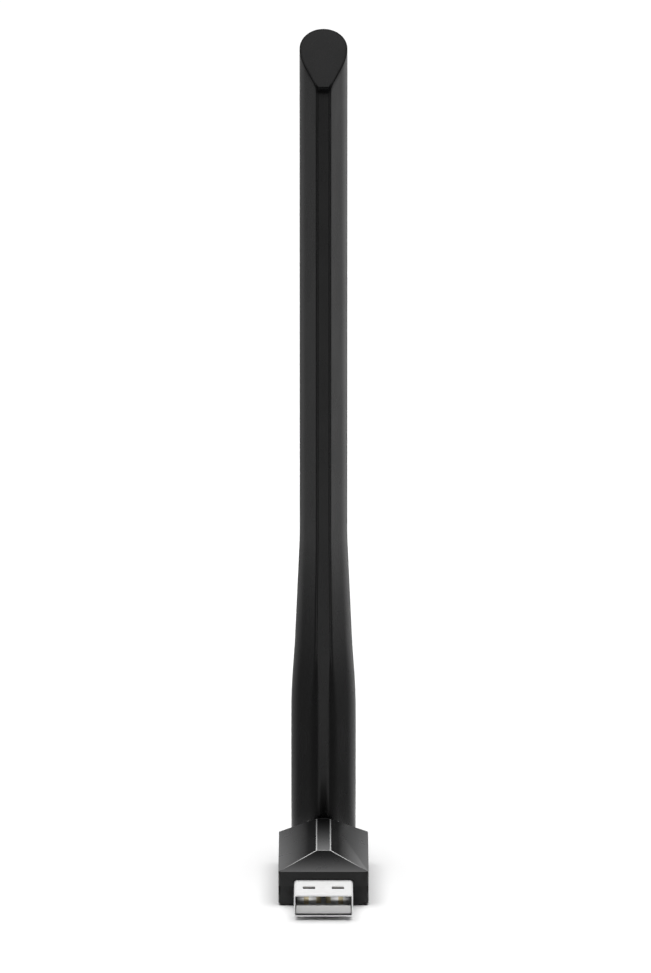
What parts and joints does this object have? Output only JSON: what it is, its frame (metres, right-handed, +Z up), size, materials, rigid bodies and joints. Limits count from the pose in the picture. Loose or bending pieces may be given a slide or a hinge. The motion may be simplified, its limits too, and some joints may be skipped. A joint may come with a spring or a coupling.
{
  "type": "usb wireless network adapter",
  "caption": "USB wireless adapter with a type-A plug, a small hipped black case and a tall flat antenna that folds on a hinge and turns on a swivel.",
  "frame": {"origin": "centre of the base of the box round the whole object, on the surface it rests on", "axes": "+Z up along the upright antenna, -Y the way the plug points, +X to the right seen from the plug"},
  "size_m": [0.0184, 0.0578, 0.1734],
  "materials": {
    "case_black": "fine moulded satin, lightly grained",
    "antenna_black": "fine moulded satin, lightly grained",
    "cap_black": "smooth satin",
    "joint_black": "smooth satin",
    "plate_grey": "plain matt film with nothing printed on it",
    "plug_steel": "nickel-plated sheet, bright satin",
    "tongue_plastic": "light grey moulded plastic",
    "contact_gold": "gold-plated, bright",
    "board_green": "glass-fibre board with solder mask",
    "can_steel": "tin-plated sheet",
    "chip_black": "moulded epoxy",
    "choke_grey": "sintered ferrite",
    "capacitor_tan": "ceramic with tinned ends",
    "lead_jacket": "smooth extruded jacket",
    "spring_steel": "bright spring steel",
    "copper": "bare copper foil",
    "foam_grey": "open-cell foam"
  },
  "bodies": {
    "case": {"top_shell": "case_black", "bottom_shell": "case_black", "rating_plate": "plate_grey", "plug_shell": "plug_steel", "plug_insulator": "tongue_plastic", "plug_contacts": "contact_gold", "main_board": "board_green", "shield_can": "can_steel", "wifi_chip": "chip_black", "crystal": "can_steel", "power_inductor": "choke_grey", "voltage_regulator": "chip_black", "chip_capacitors": "capacitor_tan", "board_coax": "lead_jacket", "coax_clip": "contact_gold"},
    "knuckle": {"swivel_knuckle": "joint_black", "retaining_ring": "spring_steel", "swivel_washer": "spring_steel", "hinge_washers": "spring_steel", "hinge_coax": "lead_jacket"},
    "antenna": {"antenna_sleeve": "antenna_black", "tip_cap": "cap_black", "hinge_pins": "spring_steel", "antenna_board": "board_green", "radiator_traces": "copper", "antenna_coax": "lead_jacket", "feed_ferrule": "contact_gold", "foam_pads": "foam_grey"}
  },
  "joints": [
    {"name": "swivel", "type": "hinge", "parent": "case", "child": "knuckle", "pos_m": [0, 0.0164, 0.0051], "axis": [0, 1, 0], "range_deg": [-90, 90]},
    {"name": "fold", "type": "hinge", "parent": "knuckle", "child": "antenna", "pos_m": [0, 0.0238, 0.0051], "axis": [1, 0, 0], "range_deg": [-90, 0], "deforming": ["hinge_coax"]}
  ]
}
